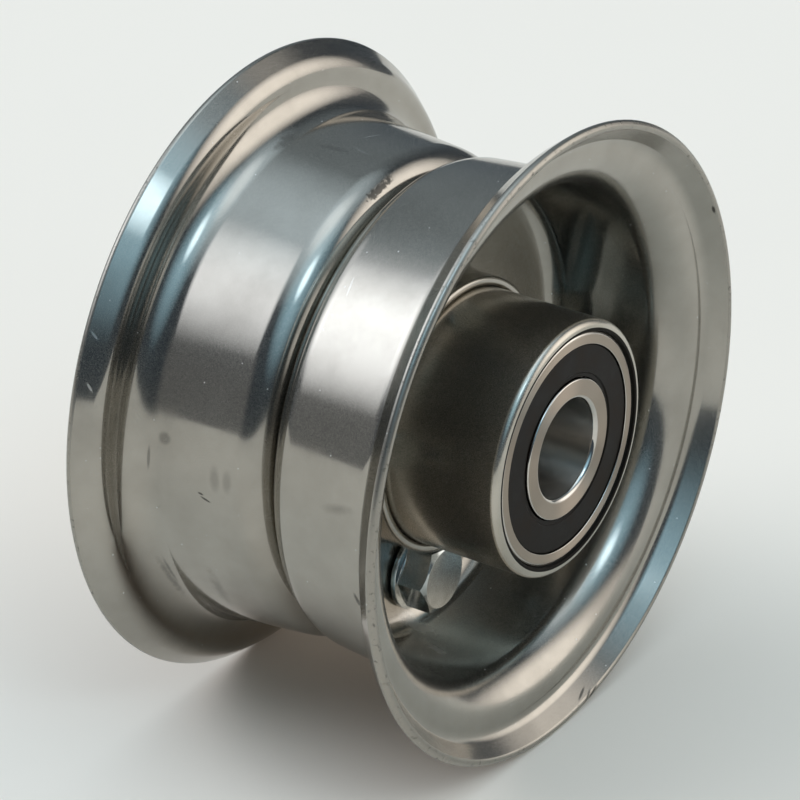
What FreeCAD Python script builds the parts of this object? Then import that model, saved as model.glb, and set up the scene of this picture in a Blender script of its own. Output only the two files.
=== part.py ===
"""Split pressed-steel wheel rim with a tubular hub and two sealed ball bearings.

The wheel spins about +Y, its centre is the origin and +Z is up. The front half is at -Y.
All sizes are in millimetres. One STEP file is written for each piece.
"""
import FreeCAD
import Part

import math
import os

Vector = FreeCAD.Vector

# Pressed rim halves, two of the same pressing back to back at the split plane
FLANGE_DIAMETER = 128.0
CHANNEL_WIDTH = 58.0
BEAD_SEAT_DIAMETER = 101.6
BEAD_SEAT_SHARE = 0.62
BEAD_SEAT_TAPER = 5.0
SHEET_THICKNESS = 2.0
BEAD_FILLET_RADIUS = 6.5
LIP_START_SHARE = 0.65
LIP_ANGLE = 42.0
LIP_BEND_RADIUS = 1.5
WELL_CORNER_RADIUS = 4.5
COLLAR_BEND_RADIUS = 1.0
BEND_SPACING = 0.2
COLLAR_REACH = 12.2
FLANGE_EDGE_ROUNDING = 0.6
COLLAR_EDGE_ROUNDING = 0.9

# Hub tube
HUB_LENGTH = 74.0
HUB_WALL = 2.25
HUB_SHOULDER = 1.0
HUB_MOUTH_ROUNDING = 1.5
HUB_MOUTH_CHAMFER = 0.3
HUB_SLIP_CLEARANCE = 0.05

# Deep-groove ball bearings
BEARING_BORE = 20.0
BEARING_OUTER_DIAMETER = 47.0
BEARING_WIDTH = 14.0
BEARING_RECESS = 0.4
BEARING_CORNER_RADIUS = 1.0
BALL_DIAMETER = 7.938
BALL_COUNT = 8
BALL_PLAY = 0.03
GROOVE_CONFORMITY = 1.04
SHOULDER_SHARE = 0.17

# Pressed ribbon cages
CAGE_SHEET = 0.6
CAGE_RIBBON_WIDTH = 3.2
CAGE_POCKET_CLEARANCE = 0.12
CAGE_RIVET_DIAMETER = 1.2
CAGE_RIVET_HEAD_DIAMETER = 2.0
CAGE_RIVET_HEAD_HEIGHT = 0.5

# Rubber lip seals
SEAL_THICKNESS = 1.2
SEAL_RECESS = 0.3
SEAL_SEAT_DEPTH = 1.5
SEAL_BEAD_THICKNESS = 0.8
SEAL_BEAD_DEPTH = 0.3
SEAL_STEP = 0.25
SEAL_LIP_WIDTH = 1.0
SEAL_LIP_GAP = 0.2
SEAL_FIT_CLEARANCE = 0.05

# Spacer sleeve between the inner rings
SPACER_WALL = 2.25
SPACER_BORE_CLEARANCE = 0.25

# Flanged bolts and nuts that hold the halves together
BOLT_COUNT = 4
BOLT_START_ANGLE = -93.5
BOLT_DIAMETER = 8.0
BOLT_HOLE_CLEARANCE = 0.25
BOLT_END_REACH = 2.0
BOLT_END_CHAMFER = 0.8
BOLT_TO_COLLAR_CLEARANCE = 0.15
HEX_ACROSS_FLATS = 13.0
HEX_CHAMFER_ANGLE = 30.0
HEX_CHAMFER_SHARE = 0.95
BOLT_HEAD_HEIGHT = 7.8
NUT_HEIGHT = 8.0
BOLT_FLANGE_DIAMETER = 16.4
BOLT_SEAT_DIAMETER = 14.0
BOLT_FLANGE_LIFT = 0.6
BOLT_FLANGE_RIM = 0.9
BOLT_SKIRT_HEIGHT = 3.2
SKIRT_TOP_SHARE = 0.97

# Sizes that follow from the ones above
half_sheet = SHEET_THICKNESS / 2
taper = math.tan(math.radians(BEAD_SEAT_TAPER))
hub_radius = BEARING_OUTER_DIAMETER / 2 + HUB_WALL
collar_inner = hub_radius + HUB_SLIP_CLEARANCE
collar_outer = collar_inner + SHEET_THICKNESS
bolt_circle = collar_outer + BOLT_TO_COLLAR_CLEARANCE + BOLT_FLANGE_DIAMETER / 2
bearing_centre = HUB_LENGTH / 2 - BEARING_RECESS - BEARING_WIDTH / 2
ball_radius = BALL_DIAMETER / 2
pitch_radius = (BEARING_BORE + BEARING_OUTER_DIAMETER) / 4
groove_radius = ball_radius * GROOVE_CONFORMITY
shoulder_height = BALL_DIAMETER * SHOULDER_SHARE
inner_shoulder = pitch_radius - ball_radius - BALL_PLAY + shoulder_height
outer_shoulder = pitch_radius + ball_radius + BALL_PLAY - shoulder_height
seal_seat = outer_shoulder + SEAL_SEAT_DEPTH
seal_face = BEARING_WIDTH / 2 - SEAL_RECESS
seal_back = seal_face - SEAL_THICKNESS


def turned(edges):
    """Solid swept by a closed outline in the radius and height plane, turned about the spin axis."""
    face = Part.Face(Part.Wire(edges))
    solid = face.revolve(Vector(0, 0, 0), Vector(0, 1, 0), 360)
    return Part.Solid(solid) if solid.ShapeType == "Shell" else solid


def joined(points):
    """Straight edges through (radius, height) points, as an open run."""
    places = [Vector(radius, height, 0) for radius, height in points]
    return [Part.LineSegment(a, b).toShape() for a, b in zip(places, places[1:])]


def loop(points):
    """Straight edges through (radius, height) points, closed back to the first."""
    return joined(points + points[:1])


def arc(start, middle, end):
    """One arc edge through three (radius, height) points."""
    return Part.Arc(*[Vector(radius, height, 0) for radius, height in (start, middle, end)]).toShape()


def corner_arc(centre, radius, from_angle, to_angle):
    """Arc about a (radius, height) centre, between two angles in degrees."""
    angles = [math.radians(a) for a in (from_angle, (from_angle + to_angle) / 2, to_angle)]
    return arc(*[(centre[0] + radius * math.cos(a), centre[1] + radius * math.sin(a)) for a in angles])


def polar(radius, angle, height):
    """Point at an angle in degrees, from +X towards +Z, on a circle about the spin axis."""
    turn = math.radians(angle)
    return Vector(radius * math.cos(turn), height, radius * math.sin(turn))


def mirrored(shape):
    """The same piece on the other side of the split plane."""
    return shape.mirror(Vector(0, 0, 0), Vector(0, 1, 0))


def moved(shape, height):
    """A copy of a shape, shifted along the spin axis."""
    copy = shape.copy()
    copy.translate(Vector(0, height, 0))
    return copy


def bent_sheet(corners, bend_radii, start_rounding, end_rounding):
    """Closed outline of a sheet whose middle line runs through corners, each bent at its own radius."""
    flat = [Vector(radius, height, 0) for radius, height in corners]
    runs = [(b - a).normalize() for a, b in zip(flat, flat[1:])]
    sides = [Vector(-run.y, run.x, 0) for run in runs]
    bends = []
    for index, radius in enumerate(bend_radii):
        before, after = runs[index], runs[index + 1]
        turn = math.atan2(before.cross(after).z, before.dot(after))
        reach = radius * math.tan(abs(turn) / 2)
        side = math.copysign(1, turn)
        corner = flat[index + 1]
        centre = corner - before * reach + sides[index] * side * radius
        bends.append((corner - before * reach, corner + after * reach, centre, corner, side * radius))

    def offset_run(side):
        """Edges of one face of the sheet, from its start to its end."""
        shift = side * half_sheet
        edges = []
        here = flat[0] + runs[0] * start_rounding + sides[0] * shift
        for index, (entry, leave, centre, corner, radius) in enumerate(bends):
            first = entry + sides[index] * shift
            last = leave + sides[index + 1] * shift
            middle = centre + (corner - centre).normalize() * abs(radius - shift)
            edges.append(Part.LineSegment(here, first).toShape())
            edges.append(Part.Arc(first, middle, last).toShape())
            here = last
        there = flat[-1] - runs[-1] * end_rounding + sides[-1] * shift
        edges.append(Part.LineSegment(here, there).toShape())
        return edges

    def rounded_edge(tip, run, side, rounding):
        """Cut edge of the sheet with its two corners rounded, run pointing out of the sheet."""
        edges = []
        ends = []
        for sign in (1, -1):
            corner = tip + side * sign * half_sheet
            centre = corner - run * rounding - side * sign * rounding
            outer = centre + side * sign * rounding
            inner = centre + run * rounding
            middle = centre + (side * sign + run).normalize() * rounding
            edges.append(Part.Arc(outer, middle, inner).toShape())
            ends.append(inner)
        edges.append(Part.LineSegment(*ends).toShape())
        return edges

    outline = offset_run(1) + offset_run(-1)
    outline += rounded_edge(flat[0], runs[0] * -1, sides[0], start_rounding)
    outline += rounded_edge(flat[-1], runs[-1], sides[-1], end_rounding)
    return Part.__sortEdges__(outline)


def rim_half():
    """Rear rim half: drawn collar, flat disc, rounded well, tapered bead seat, flange and flared lip."""
    lip = math.radians(LIP_ANGLE)
    seat_height = BEAD_SEAT_SHARE * CHANNEL_WIDTH / 2
    barrel_start = BEAD_SEAT_DIAMETER / 2 - seat_height * taper
    barrel_start -= half_sheet / math.cos(math.atan(taper))
    riser = CHANNEL_WIDTH / 2 + half_sheet
    rounding_loss = FLANGE_EDGE_ROUNDING * (math.sin(lip) + math.cos(lip) - 1)
    edge_radius = FLANGE_DIAMETER / 2 - half_sheet * math.cos(lip) + rounding_loss
    well = barrel_start + half_sheet * taper
    bead = barrel_start + riser * taper
    crease = bead + LIP_START_SHARE * (edge_radius - bead)
    edge_height = riser + (edge_radius - crease) / math.tan(lip)
    corners = [
        (collar_inner + half_sheet, COLLAR_REACH),
        (collar_inner + half_sheet, half_sheet),
        (well, half_sheet),
        (bead, riser),
        (crease, riser),
        (edge_radius, edge_height),
    ]
    right_bend = math.tan(math.radians(90 - BEAD_SEAT_TAPER) / 2)
    lip_reach = (LIP_BEND_RADIUS + half_sheet) * math.tan((math.pi / 2 - lip) / 2)
    bead_room = (crease - lip_reach - BEND_SPACING - bead) / right_bend
    seat_edge = bolt_circle + BOLT_SEAT_DIAMETER / 2
    well_room = (well - seat_edge) / right_bend
    bends = [
        COLLAR_BEND_RADIUS + half_sheet,
        min(WELL_CORNER_RADIUS + half_sheet, well_room),
        min(BEAD_FILLET_RADIUS + half_sheet, bead_room),
        LIP_BEND_RADIUS + half_sheet,
    ]
    half = turned(bent_sheet(corners, bends, COLLAR_EDGE_ROUNDING, FLANGE_EDGE_ROUNDING))
    hole_radius = BOLT_DIAMETER / 2 + BOLT_HOLE_CLEARANCE
    for place in bolt_places(-SHEET_THICKNESS):
        half = half.cut(Part.makeCylinder(hole_radius, 3 * SHEET_THICKNESS, place, Vector(0, 1, 0)))
    return half


def bolt_places(height):
    """Points at the bolt centres, at one height along the spin axis."""
    step = 360 / BOLT_COUNT
    return [polar(bolt_circle, BOLT_START_ANGLE + step * index, height) for index in range(BOLT_COUNT)]


def hub_tube():
    """Steel tube with a bored bearing seat and a rounded mouth at each end."""
    half = HUB_LENGTH / 2
    seat = BEARING_OUTER_DIAMETER / 2
    shoulder = bearing_centre - BEARING_WIDTH / 2
    rim = hub_radius - HUB_MOUTH_ROUNDING
    upper = joined([
        (hub_radius, 0),
        (hub_radius, half - HUB_MOUTH_ROUNDING),
    ])
    upper.append(corner_arc((rim, half - HUB_MOUTH_ROUNDING), HUB_MOUTH_ROUNDING, 0, 90))
    upper += joined([
        (rim, half),
        (seat + HUB_MOUTH_CHAMFER, half),
        (seat, half - HUB_MOUTH_CHAMFER),
        (seat, shoulder),
        (seat - HUB_SHOULDER, shoulder),
        (seat - HUB_SHOULDER, 0),
        (hub_radius, 0),
    ])
    half_tube = turned(upper)
    return half_tube.fuse(mirrored(half_tube)).removeSplitter()


def outer_ring():
    """Bearing outer ring: deep groove inside, seal seats at both faces, rounded outer corners."""
    outside = BEARING_OUTER_DIAMETER / 2
    face = BEARING_WIDTH / 2
    corner = BEARING_CORNER_RADIUS
    bead = seal_seat + SEAL_BEAD_DEPTH + SEAL_FIT_CLEARANCE
    ledge = seal_back - SEAL_FIT_CLEARANCE
    lid = ledge + SEAL_BEAD_THICKNESS + 2 * SEAL_FIT_CLEARANCE
    centre = pitch_radius + ball_radius + BALL_PLAY - groove_radius
    groove_edge = math.sqrt(groove_radius ** 2 - (outer_shoulder - centre) ** 2)
    edges = joined([
        (outer_shoulder, groove_edge),
        (outer_shoulder, ledge),
        (bead, ledge),
        (bead, lid),
        (seal_seat, lid),
        (seal_seat, face),
        (outside - corner, face),
    ])
    edges.append(corner_arc((outside - corner, face - corner), corner, 90, 0))
    edges += joined([(outside, face - corner), (outside, corner - face)])
    edges.append(corner_arc((outside - corner, corner - face), corner, 0, -90))
    edges += joined([
        (outside - corner, -face),
        (seal_seat, -face),
        (seal_seat, -lid),
        (bead, -lid),
        (bead, -ledge),
        (outer_shoulder, -ledge),
        (outer_shoulder, -groove_edge),
    ])
    edges.append(arc((outer_shoulder, -groove_edge), (centre + groove_radius, 0), (outer_shoulder, groove_edge)))
    return turned(edges)


def inner_ring():
    """Bearing inner ring: deep groove outside, rounded corners at the bore."""
    bore = BEARING_BORE / 2
    face = BEARING_WIDTH / 2
    corner = BEARING_CORNER_RADIUS
    centre = pitch_radius - ball_radius - BALL_PLAY + groove_radius
    groove_edge = math.sqrt(groove_radius ** 2 - (centre - inner_shoulder) ** 2)
    edges = joined([(bore + corner, face), (inner_shoulder, face), (inner_shoulder, groove_edge)])
    edges.append(arc((inner_shoulder, groove_edge), (centre - groove_radius, 0), (inner_shoulder, -groove_edge)))
    edges += joined([(inner_shoulder, -groove_edge), (inner_shoulder, -face), (bore + corner, -face)])
    edges.append(corner_arc((bore + corner, corner - face), corner, -90, -180))
    edges += joined([(bore, corner - face), (bore, face - corner)])
    edges.append(corner_arc((bore + corner, face - corner), corner, 180, 90))
    return turned(edges)


def seal():
    """Rubber seal: a bead that snaps into the outer ring, a flat web and a thin lip at the inner ring."""
    lip = inner_shoulder + SEAL_LIP_GAP
    bead = seal_seat + SEAL_BEAD_DEPTH
    rim = seal_seat - SEAL_FIT_CLEARANCE
    bead_top = seal_back + SEAL_BEAD_THICKNESS
    outline = [
        (lip, seal_back + SEAL_STEP),
        (lip, seal_face - SEAL_STEP),
        (lip + SEAL_LIP_WIDTH - SEAL_STEP, seal_face - SEAL_STEP),
        (lip + SEAL_LIP_WIDTH, seal_face),
        (rim - SEAL_STEP, seal_face),
        (rim, seal_face - SEAL_STEP),
        (rim, bead_top),
        (bead, bead_top),
        (bead, seal_back),
        (lip + SEAL_LIP_WIDTH, seal_back),
    ]
    return turned(loop(outline))


def ball_places():
    """Points at the ball centres, about the bearing's own middle."""
    step = 360 / BALL_COUNT
    return [polar(pitch_radius, step * index, 0) for index in range(BALL_COUNT)]


def rivet_places():
    """Points midway between the balls."""
    step = 360 / BALL_COUNT
    return [polar(pitch_radius, step * (index + 0.5), 0) for index in range(BALL_COUNT)]


def balls():
    """The bearing's balls, as separate solids."""
    return Part.makeCompound([Part.makeSphere(ball_radius, place) for place in ball_places()])


def ring_band(height):
    """Annular band as wide as the cage ribbon, from the cage's middle up to a height."""
    inner = pitch_radius - CAGE_RIBBON_WIDTH / 2
    outer = pitch_radius + CAGE_RIBBON_WIDTH / 2
    return turned(loop([(inner, 0), (outer, 0), (outer, height), (inner, height)]))


def cage_half():
    """Upper half of the pressed ribbon cage: flat webs with a cupped pocket round each ball."""
    pocket = ball_radius + CAGE_POCKET_CLEARANCE
    cups = [Part.makeSphere(pocket + CAGE_SHEET, place) for place in ball_places()]
    hollows = [Part.makeSphere(pocket, place) for place in ball_places()]
    holes = [
        Part.makeCylinder(CAGE_RIVET_DIAMETER / 2, CAGE_SHEET, place, Vector(0, 1, 0))
        for place in rivet_places()
    ]
    domes = Part.makeCompound(cups).common(ring_band(pocket + 2 * CAGE_SHEET))
    ribbon = ring_band(CAGE_SHEET).fuse(domes)
    return ribbon.cut(Part.makeCompound(hollows + holes)).removeSplitter().Solids[0]


def cage_rivets():
    """Rivets with a head on each side of the joined cage halves."""
    shank = CAGE_RIVET_DIAMETER / 2
    head = CAGE_RIVET_HEAD_DIAMETER / 2
    top = CAGE_SHEET + CAGE_RIVET_HEAD_HEIGHT
    outline = [
        (0, -top),
        (shank, -top),
        (head, -CAGE_SHEET),
        (shank, -CAGE_SHEET),
        (shank, CAGE_SHEET),
        (head, CAGE_SHEET),
        (shank, top),
        (0, top),
    ]
    rivet = turned(loop(outline))
    return Part.makeCompound([rivet.translated(place) for place in rivet_places()])


def spacer_sleeve():
    """Plain sleeve that keeps the two inner rings apart."""
    inner = BEARING_BORE / 2 + SPACER_BORE_CLEARANCE
    outer = inner + SPACER_WALL
    end = bearing_centre - BEARING_WIDTH / 2
    return turned(loop([(inner, -end), (outer, -end), (outer, end), (inner, end)]))


def hex_prism(height):
    """Hexagonal prism up to a height, a flat facing the spin axis, its top corners chamfered."""
    corner = HEX_ACROSS_FLATS / math.sqrt(3)
    points = [polar(corner, 60 * index + 30, 0) for index in range(7)]
    prism = Part.Face(Part.makePolygon(points)).extrude(Vector(0, height, 0))
    top = HEX_CHAMFER_SHARE * HEX_ACROSS_FLATS / 2
    drop = (corner - top) * math.tan(math.radians(HEX_CHAMFER_ANGLE))
    cone = turned(loop([(0, 0), (corner, 0), (corner, height - drop), (top, height), (0, height)]))
    return prism.common(cone)


def flanged_hex(height):
    """Hexagon on a flared round flange, standing on its seat at height zero."""
    seat = BOLT_SEAT_DIAMETER / 2
    flange = BOLT_FLANGE_DIAMETER / 2
    rim_top = BOLT_FLANGE_LIFT + BOLT_FLANGE_RIM
    top = SKIRT_TOP_SHARE * HEX_ACROSS_FLATS / 2
    edges = joined([
        (0, BOLT_SKIRT_HEIGHT),
        (0, 0),
        (seat, 0),
        (flange, BOLT_FLANGE_LIFT),
        (flange, rim_top),
    ])
    slope = Vector(top - flange, BOLT_SKIRT_HEIGHT - rim_top, 0)
    sag = (BOLT_SKIRT_HEIGHT - rim_top) / 4
    middle = ((flange + top) / 2 - sag * slope.y / slope.Length, (rim_top + BOLT_SKIRT_HEIGHT) / 2)
    edges.append(arc((flange, rim_top), middle, (top, BOLT_SKIRT_HEIGHT)))
    edges += joined([(top, BOLT_SKIRT_HEIGHT), (0, BOLT_SKIRT_HEIGHT)])
    return turned(edges).fuse(hex_prism(height))


def at_bolt_places(piece, height, facing):
    """Copies of a piece built along +Y, one at each bolt, facing along the spin axis."""
    copies = []
    for index, place in enumerate(bolt_places(height)):
        copy = piece.copy()
        if facing < 0:
            copy.rotate(Vector(0, 0, 0), Vector(1, 0, 0), 180)
        copy.rotate(Vector(0, 0, 0), Vector(0, 1, 0), -BOLT_START_ANGLE - 360 / BOLT_COUNT * index)
        copies.append(copy.translated(place))
    return Part.makeCompound(copies)


def rim_bolts():
    """Flanged hexagon bolts with their heads on the front disc and their ends past the nuts."""
    length = 2 * SHEET_THICKNESS + NUT_HEIGHT + BOLT_END_REACH
    radius = BOLT_DIAMETER / 2
    tip = radius - BOLT_END_CHAMFER
    shank = turned(loop([(0, 0), (0, -length), (tip, -length), (radius, BOLT_END_CHAMFER - length), (radius, 0)]))
    bolt = flanged_hex(BOLT_HEAD_HEIGHT).fuse(shank).removeSplitter()
    return at_bolt_places(bolt, -SHEET_THICKNESS, -1)


def rim_nuts():
    """Flanged hexagon nuts on the rear disc."""
    hole = Part.makeCylinder(BOLT_DIAMETER / 2, NUT_HEIGHT, Vector(0, 0, 0), Vector(0, 1, 0))
    nut = flanged_hex(NUT_HEIGHT).cut(hole).removeSplitter()
    return at_bolt_places(nut, SHEET_THICKNESS, 1)


def bearing(side, place):
    """Pieces of one bearing by node name, with its outer faces away from the split plane."""
    upper_cage = cage_half()
    upper_seal = seal()
    outward = math.copysign(1, place)
    near, far = ("outer", "inner") if outward > 0 else ("inner", "outer")
    pieces = {
        "outer_ring": outer_ring(),
        "inner_ring": inner_ring(),
        "balls": balls(),
        "cage_rivets": cage_rivets(),
        f"{near}_cage_half": upper_cage,
        f"{far}_cage_half": mirrored(upper_cage),
        f"{near}_seal": upper_seal,
        f"{far}_seal": mirrored(upper_seal),
    }
    return {f"{side}_{name}": moved(shape, place) for name, shape in pieces.items()}


def main():
    """Build every piece and write its STEP file."""
    rear_half = rim_half()
    pieces = {
        "front_rim_half": mirrored(rear_half),
        "rear_rim_half": rear_half,
        "hub_tube": hub_tube(),
        "spacer_sleeve": spacer_sleeve(),
        "rim_bolts": rim_bolts(),
        "rim_nuts": rim_nuts(),
    }
    pieces.update(bearing("front", -bearing_centre))
    pieces.update(bearing("rear", bearing_centre))
    os.makedirs("parts", exist_ok=True)
    for name, shape in pieces.items():
        shape.exportStep(os.path.join("parts", f"{name}.step"))
        print(f"{name}: valid {shape.isValid()}, solids {len(shape.Solids)}, volume {shape.Volume:.1f}")


main()
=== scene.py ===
"""Looks of a split pressed-steel wheel rim with a tubular hub and sealed ball bearings.

Every shell is worked out with numpy, mostly as a section carried round the spin axis (+Y), and stands for
the CAD node that it replaces. Sizes in the classes are millimetres, meshes are metres.
"""

import logging
import math
from collections.abc import Callable
from dataclasses import dataclass
from enum import Enum
from functools import partial

import bpy
import numpy as np
from bpy.types import Material, Mesh, Node, NodeSocket, NodeTree, Object, World
from mathutils import Matrix, Quaternion, Vector


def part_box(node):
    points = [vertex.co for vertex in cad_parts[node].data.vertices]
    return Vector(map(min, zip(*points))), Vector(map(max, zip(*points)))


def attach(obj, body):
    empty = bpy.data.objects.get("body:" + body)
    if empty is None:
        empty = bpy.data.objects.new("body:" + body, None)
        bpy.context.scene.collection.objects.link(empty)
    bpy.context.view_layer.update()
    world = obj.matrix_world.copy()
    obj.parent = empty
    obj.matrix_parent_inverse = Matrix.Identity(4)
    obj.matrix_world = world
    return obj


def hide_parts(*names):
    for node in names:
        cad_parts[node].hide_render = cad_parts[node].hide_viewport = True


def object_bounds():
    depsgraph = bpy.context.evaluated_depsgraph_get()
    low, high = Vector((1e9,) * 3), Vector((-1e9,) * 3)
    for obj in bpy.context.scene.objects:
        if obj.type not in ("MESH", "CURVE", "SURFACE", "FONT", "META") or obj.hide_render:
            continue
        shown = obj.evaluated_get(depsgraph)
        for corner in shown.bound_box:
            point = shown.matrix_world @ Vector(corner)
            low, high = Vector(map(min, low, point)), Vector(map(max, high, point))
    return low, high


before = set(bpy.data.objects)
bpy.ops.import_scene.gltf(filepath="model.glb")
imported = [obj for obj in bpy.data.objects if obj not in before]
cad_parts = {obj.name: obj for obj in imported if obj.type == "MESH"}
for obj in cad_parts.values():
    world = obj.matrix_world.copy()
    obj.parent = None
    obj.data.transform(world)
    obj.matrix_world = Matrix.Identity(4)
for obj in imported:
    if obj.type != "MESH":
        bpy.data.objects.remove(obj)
CAD_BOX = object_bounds()

MM = 0.001
# Slack in millimetres of a test for points on a surface
CLOSE = 0.01
# Point attributes: turn and length along the section, and how sheared or dulled the steel is, or where shade
# is painted
TURNED = "turned"
EDGE_AND_SHADE = "edge"
# Values of the edge attribute where shade is painted into the gap round a bearing, and in a honed bore, which
# keeps its colour
PAINTED_SHADE = 2.0
HONED = -0.6
# Levels between which oil film, sheared edge and painted gap shade fade in
FILM_LEVELS, BARE_LEVELS, PAINTED_SHADE_LEVELS = (0.4, 0.68), (0.5, 0.9), (1.5, PAINTED_SHADE)
log = logging.getLogger("wheel_rim")

Corner = tuple[float, float]
Place = tuple[float, float, float]
Section = tuple[np.ndarray, np.ndarray]
Adder = Callable[..., Node]


class Side(Enum):
    """End of the wheel that a piece belongs to, with the sign of its place along the spin axis."""

    FRONT = -1
    REAR = 1

    @property
    def label(self) -> str:
        """Word that starts the names of this side's nodes."""
        return self.name.lower()


class Body(Enum):
    """CAD bodies that the new pieces ride on."""

    CORE = "axle_core"
    RIM = "rim"


class Slot(Enum):
    """Material slots of the record."""

    SHEET = "pressed_steel"
    HUB = "hub_steel"
    RING = "bearing_steel"
    SEAL = "seal_rubber"
    PLATED = "zinc_plate"


def linear(colour: str) -> tuple[float, float, float, float]:
    """Turn an sRGB hex colour into the linear values that shaders take.

    Args:
        colour: Text such as "#8c8a86".

    Returns:
        Linear red, green and blue, and an alpha of one.
    """
    parts = np.array([int(colour[i:i + 2], 16) for i in (1, 3, 5)]) / 255
    bright = np.where(parts <= 0.04045, parts / 12.92, ((parts + 0.055) / 1.055) ** 2.4)
    return (*map(float, bright), 1.0)


def add_node(tree: NodeTree, kind: str, inputs: dict | None = None, **settings: object) -> Node:
    """Add one node to a tree.

    Args:
        tree: Node tree that gets the node.
        kind: Blender's name of the node type, without the leading ShaderNode.
        inputs: Socket name or number to a value, or to an output socket, or a node's first, to link from.
        settings: Properties of the node itself.

    Returns:
        The new node.
    """
    made = tree.nodes.new("ShaderNode" + kind)
    for name, value in settings.items():
        setattr(made, name, value)
    for name, value in (inputs or {}).items():
        if isinstance(value, (Node, NodeSocket)):
            tree.links.new(value.outputs[0] if isinstance(value, Node) else value, made.inputs[name])
        else:
            made.inputs[name].default_value = value
    return made


def node_adder(owner: Material | World) -> Adder:
    """Switch on the nodes of a new material or world and clear them away.

    Args:
        owner: The material or world.

    Returns:
        The function that adds a node to its tree.
    """
    owner.use_nodes = True
    owner.node_tree.nodes.clear()
    return partial(add_node, owner.node_tree)


# Sections and surfaces


def rounded_run(corners: list[Corner], radii: list[float], closed: bool, arc_steps: int) -> Section:
    """Sample a line through corners, with a tangent arc of its own radius at each corner.

    Where the line turns by an angle w, the arc of radius q starts q*tan(w/2) before the corner and ends
    as far after it. Each point carries the unit tangent of its line or arc.

    Args:
        corners: (radius, height) points.
        radii: Arc radius for each corner. The two ends of an open line have none.
        closed: Whether the last corner joins back to the first.
        arc_steps: Steps along each arc.

    Returns:
        Points and unit tangents, each of shape (count, 2).
    """
    path = np.array(corners, float)
    after = np.roll(path, -1, axis=0) - path
    after /= np.linalg.norm(after, axis=1, keepdims=True)
    before = np.roll(after, 1, axis=0)
    turns = np.arctan2(before[:, 0] * after[:, 1] - before[:, 1] * after[:, 0], (before * after).sum(1))
    if not closed:
        before[0], after[-1] = after[0], before[-1]
    share = np.linspace(0, 1, arc_steps + 1)[:, None]
    points, tangents = [], []
    for corner, come, leave, turn, radius in zip(path, before, after, turns, radii):
        if radius <= 0:
            mean = come + leave
            points.append(corner[None])
            tangents.append((mean / np.linalg.norm(mean))[None])
            continue
        inward = math.copysign(1, turn) * np.array([-come[1], come[0]])
        centre = corner - come * radius * math.tan(abs(turn) / 2) + inward * radius
        angle = share * abs(turn)
        points.append(centre + radius * (come * np.sin(angle) - inward * np.cos(angle)))
        tangents.append(come * np.cos(angle) + inward * np.sin(angle))
    return np.concatenate(points), np.concatenate(tangents)


def anticlockwise(points: np.ndarray, *others: np.ndarray) -> tuple[np.ndarray, ...]:
    """Order a closed section so that it runs anticlockwise in the radius and height plane.

    Args:
        points: Points of the section.
        others: Arrays that go with the points.

    Returns:
        The points and the others, reversed where the signed area was negative.
    """
    ahead = np.roll(points, -1, axis=0)
    area = (points[:, 0] * ahead[:, 1] - ahead[:, 0] * points[:, 1]).sum()
    return tuple(array if area > 0 else array[::-1] for array in (points, *others))


def solid_section(corners: list[Corner], radii: list[float], arc_steps: int = 8) -> Section:
    """Closed section of a turned solid, each corner rounded.

    Args:
        corners: Corners of the section, in either turning direction.
        radii: Edge rounding at each corner.
        arc_steps: Steps along each rounded edge.

    Returns:
        Points and outward unit normals.
    """
    ring, rounding = anticlockwise(np.array(corners, float), np.array(radii, float))
    points, tangents = rounded_run(list(ring), list(rounding), True, arc_steps)
    return points, np.stack([tangents[:, 1], -tangents[:, 0]], 1)


def cut_edge(tip: np.ndarray, out: np.ndarray, side: np.ndarray, half: float, rounding: float,
             arc_points: int = 7) -> Section:
    """Sheared edge of a sheet: a quarter arc off each face, the two joined by a straight cut.

    Args:
        tip: Point on the middle line where the arcs start.
        out: Unit direction out of the sheet.
        side: Unit normal of the face that the edge starts from.
        half: Half the sheet's thickness.
        rounding: Radius of both arcs.
        arc_points: Points along each arc.

    Returns:
        Points and outward unit normals, from one face to the other.
    """
    angle = np.linspace(0, math.pi / 2, arc_points)[:, None]
    near = side * np.cos(angle) + out * np.sin(angle)
    far = out * np.cos(angle) - side * np.sin(angle)
    reach = side * (half - rounding)
    points = np.concatenate([tip + reach + rounding * near, tip - reach + rounding * far])
    return points, np.concatenate([near, far])


def ring_mesh(name: str, places: np.ndarray, joined_ends: bool, flip: bool = False) -> Mesh:
    """Skin copies of a stack of rings with quads.

    Args:
        name: Name of the mesh.
        places: Points in metres, shape (copies, rows, columns, 3). Columns close into rings.
        joined_ends: Whether the last ring joins the first. If not, a fan about its middle shuts each end.
        flip: Whether the faces turn over, for a mirrored stack.

    Returns:
        The smooth-shaded mesh. The middles of shut ends come after all ring points.
    """
    copies, rows, columns, _ = places.shape
    first = (np.arange(copies) * rows * columns)[:, None, None]
    row = np.arange(rows if joined_ends else rows - 1)[None, :, None]
    column = np.arange(columns)[None, None, :]
    here, above = first + row * columns, first + (row + 1) % rows * columns
    beside = (column + 1) % columns
    quads = np.stack([here + column, here + beside, above + beside, above + column], -1).reshape(-1, 4)
    points, faces = places.reshape(-1, 3), [quads[:, ::-1] if flip else quads]
    if not joined_ends:
        middles = places[:, [0, -1]].mean(axis=2).reshape(-1, 3)
        hub = len(points) + np.arange(copies * 2).reshape(copies, 2, 1)
        start = np.stack([first[:, 0, 0], first[:, 0, 0] + (rows - 1) * columns], 1)[..., None]
        left, right = start + column[0], start + beside[0]
        fans = np.stack([np.broadcast_to(hub, left.shape), right, left], -1)
        fans[:, 1] = fans[:, 1][..., [0, 2, 1]]
        fans = fans.reshape(-1, 3)
        points, faces = np.concatenate([points, middles]), faces + [fans[:, ::-1] if flip else fans]
    mesh = bpy.data.meshes.new(name)
    mesh.from_pydata(points, [], [face for block in faces for face in block.tolist()])
    mesh.polygons.foreach_set("use_smooth", np.ones(len(mesh.polygons), bool))
    return mesh


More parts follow.
